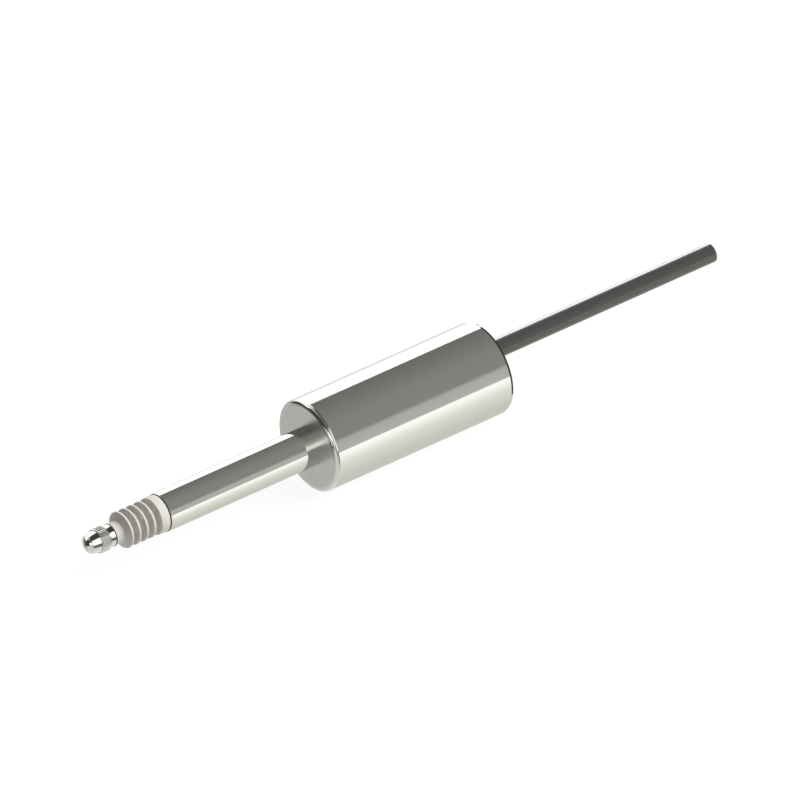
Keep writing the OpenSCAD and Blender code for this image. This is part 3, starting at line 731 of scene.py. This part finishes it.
floor_z = cad_low.z - FLOOR_DROP
floor, floor_tree = flat_sheet("floor", [
    (FLOOR_REACH * x, FLOOR_REACH * y, floor_z) for x, y in ((-1, -1), (1, -1), (1, 1), (-1, 1))])
floor_paths = make(floor_tree, "LightPath").outputs
seen = math_node(
    floor_tree, "MAXIMUM", floor_paths["Is Camera Ray"],
    math_node(floor_tree, "MAXIMUM", floor_paths["Is Glossy Ray"],
              floor_paths["Is Transmission Ray"]))
floor_diffuse = make(floor_tree, "BsdfDiffuse", {"Color": (FLOOR_GREY,) * 3 + (1,)})
floor_light = make(floor_tree, "Emission", {
    "Strength": math_node(
        floor_tree, "MULTIPLY_ADD", seen, FLOOR_GLOW - FLOOR_BOUNCE, FLOOR_BOUNCE)})
floor_sum = make(floor_tree, "AddShader", {
    0: floor_diffuse.outputs[0], 1: floor_light.outputs[0]})
make(floor_tree, "OutputMaterial", {"Surface": floor_sum.outputs[0]})
floor.visible_glossy = False


# Light: a soft studio tent, bright behind the probe and dark ahead of its tip, and one large
# soft lamp from behind, the left and above
TENT_BEHIND = 1.0
TENT_BESIDE = 0.44
TENT_AHEAD = 0.0
LAMP_LIGHT = 0.85
LAMP_SPREAD = math.radians(50)
LAMP_FROM = Vector((-0.65, 0.36, 0.62))

lamp_data = bpy.data.lights.new("lamp", "SUN")
lamp_data.energy = LAMP_LIGHT * math.pi
lamp_data.angle = LAMP_SPREAD
lamp = bpy.data.objects.new("lamp", lamp_data)
lamp.rotation_mode = "QUATERNION"
lamp.rotation_quaternion = (-LAMP_FROM).to_track_quat("-Z", "Y")
lamp.visible_glossy = False
scene.collection.objects.link(lamp)


# Strip light on the far side of the cable, in mm. It shows only in reflections, as a thin line of
# gloss along the sheath
STRIP_LIGHT = 5
STRIP_Y = -200
STRIP_REAR_X = -250
STRIP_FRONT_X = -150
STRIP_LOW = -5
STRIP_HIGH = 155

strip, strip_tree = flat_sheet("strip_light", [
    Vector((x, STRIP_Y, z)) * MM for x, z in (
        (STRIP_REAR_X, STRIP_LOW), (STRIP_FRONT_X, STRIP_LOW),
        (STRIP_FRONT_X, STRIP_HIGH), (STRIP_REAR_X, STRIP_HIGH))])
strip_glow = make(strip_tree, "Emission", {"Strength": STRIP_LIGHT})
make(strip_tree, "OutputMaterial", {"Surface": strip_glow.outputs[0]})
strip.visible_camera = False
strip.visible_diffuse = False
strip.visible_transmission = False
strip.visible_shadow = False


# What bright metal sees of the tent: white and grey panels by their angle about the probe's
# axis, in degrees from the left side over the top. There is a set behind the probe, one beside
# it, one in front of it, and one for what is mirrored twice. One set gives way to the next by how
# far a direction points ahead, from -1 to 1
WHITE = 1.2
GLARE = 1.6
BEHIND = [
    (-180, GLARE), (-175, GLARE), (-169, 0.92), (-164, 0.78), (-150, 0.76), (-139, 0.68),
    (-132, 0.63), (-104, 0.628), (-71, 0.66), (-59, 0.73), (-46, 0.77), (-33, 0.84), (-25, 0.93),
    (-14, 1.08), (-3.6, WHITE), (-2, 0.5), (15, 0.48), (22, 0.455), (29.5, 0.262), (70, 0.25),
    (90, 0.222), (117, 0.187), (139.2, 0.165), (141.6, 1.1), (150, GLARE),
]
BESIDE = [
    (-180, 0.95), (-172, 0.58), (-165, 0.48), (-150, 0.48), (-140, 0.53), (-128, 0.56), (-110, 0.8),
    (-90, 0.86), (-68, 0.74), (-32, 0.68), (-22, 0.14), (2, 0.12), (6, WHITE), (56, WHITE),
    (63, 0.05), (116, 0.05), (124, WHITE), (170, WHITE), (180, 0.95),
]
IN_FRONT = [
    (-180, 0.85), (-172, 0.5), (-166, 0.45), (-150, 0.54), (-125, 0.56), (-112, 0.68), (-60, 0.66),
    (-20, 0.5), (0, 0.3), (14, 0.38), (36, 0.38), (50, 0.3), (66, 0.18), (104, 0.15), (114, 0.18),
    (124, 0.3), (132, 0.5), (140, 0.75), (150, 1.05), (160, WHITE), (172, WHITE),
]
TWICE = [
    (-180, 0.12), (-150, 0.15), (-120, 0.42), (17, 0.24), (21, WHITE), (36, WHITE), (45, 0.55),
    (63, 0.32), (99, 0.2), (112, 0.1), (180, 0.12),
]
BEHIND_FROM = (-0.33, -0.42)
IN_FRONT_FROM = (0.15, 0.4)
TWICE_DARK_FROM = (0.58, 0.66)
TWICE_BRIGHT_FROM = (0.82, 0.9)
TWICE_FROM_DEPTH = 1.5
WARM = (1.0, 1.0, 0.965)
WARM_LOW = (1.0, 0.995, 0.915)
LOW_DEGREES = (-138, -20)
DARK = (0.05, 0.05, 0.05, 1)
BRIGHT = (1.2, 1.2, 1.16, 1)
BACKDROP = (1, 1, 1, 1)

# Round dark openings and bright spots of the tent, each by its direction and the degrees of its
# inner and outer edge. The rear ones lie in an arc, which the case's rear bevel mirrors
DARK_OPENINGS = [
    ((0.955, -0.29, 0.03), 21, 26),
    ((0.772, -0.56, -0.30), 13, 17),
    ((0.537, -0.83, -0.15), 9, 13),
]
REAR_OPENINGS = [
    (-0.70, -0.70, -0.08), (-0.78, -0.60, 0.13), (-0.85, -0.44, 0.27), (-0.91, -0.22, 0.35),
    (-0.945, 0.0, 0.32), (-0.96, 0.18, 0.21), (-0.945, 0.32, 0.0), (-0.905, 0.32, -0.27),
    (-0.86, 0.26, -0.44), (-0.82, 0.15, -0.55),
]
REAR_OPENING_DEGREES = (9, 12)
BRIGHT_SPOTS = [
    ((0.956, 0.28, 0.09), 7, 11),
    ((0.99, 0.09, 0.08), 6, 9),
]

world = bpy.data.worlds.new("tent")
scene.world = world
world.use_nodes = True
world.cycles.sampling_method = "NONE"
tent = world.node_tree
tent.nodes.clear()
direction = make(tent, "TexCoord").outputs["Generated"]
ahead, _, turn_angle = about_axis(tent, direction)
turn_share = math_node(tent, "MULTIPLY_ADD", turn_angle, 1 / (2 * math.pi), 0.5)


def panels(stops, low_tint=WARM):
    """Bands of light round the axis, with another tint on the low side."""
    low_from, low_to = LOW_DEGREES
    bands = []
    for degrees, value in stops:
        tint = low_tint if low_from < degrees < low_to else WARM
        bands.append(((degrees + 180) / 360, tuple(value * tone for tone in tint)))
    return ramp(tent, turn_share, bands)


def step_between(value, low, high):
    return make(tent, "MapRange", {
        "Value": value, "From Min": low, "From Max": high,
    }, interpolation_type="SMOOTHSTEP").outputs["Result"]


def disc(middle, inner_degrees, outer_degrees):
    """1 inside a round patch of the surroundings, falling to 0 at its outer edge."""
    facing = make(
        tent, "VectorMath", {0: direction, 1: Vector(middle).normalized()},
        operation="DOT_PRODUCT")
    return step_between(
        facing.outputs["Value"],
        math.cos(math.radians(outer_degrees)), math.cos(math.radians(inner_degrees)))


mirrored = mix_colours(
    tent, step_between(ahead, *IN_FRONT_FROM), panels(BESIDE), panels(IN_FRONT))
for opening in DARK_OPENINGS:
    mirrored = mix_colours(tent, disc(*opening), mirrored, DARK)
for spot in BRIGHT_SPOTS:
    mirrored = mix_colours(tent, disc(*spot), mirrored, BRIGHT)
mirrored = mix_colours(
    tent, step_between(ahead, *BEHIND_FROM), mirrored, panels(BEHIND, WARM_LOW))
for middle in REAR_OPENINGS:
    mirrored = mix_colours(tent, disc(middle, *REAR_OPENING_DEGREES), mirrored, DARK)
tent_paths = make(tent, "LightPath").outputs
again = math_node(tent, "GREATER_THAN", tent_paths["Glossy Depth"], TWICE_FROM_DEPTH)
twice = mix_colours(tent, step_between(ahead, *TWICE_DARK_FROM), panels(TWICE), DARK)
twice = mix_colours(tent, step_between(ahead, *TWICE_BRIGHT_FROM), twice, BRIGHT)
mirrored = mix_colours(tent, again, mirrored, twice)
spread_light = ramp(
    tent, math_node(tent, "MULTIPLY_ADD", ahead, 0.5, 0.5),
    [(0, TENT_BEHIND), (0.5, TENT_BESIDE), (1, TENT_AHEAD)])
tent_colour = mix_colours(tent, tent_paths["Is Glossy Ray"], spread_light, mirrored)
open_view = math_node(
    tent, "MAXIMUM", tent_paths["Is Camera Ray"], tent_paths["Is Transmission Ray"])
tent_colour = mix_colours(tent, open_view, tent_colour, BACKDROP)
background = make(tent, "Background", {"Color": tent_colour})
make(tent, "OutputWorld", {"Surface": background.outputs[0]})
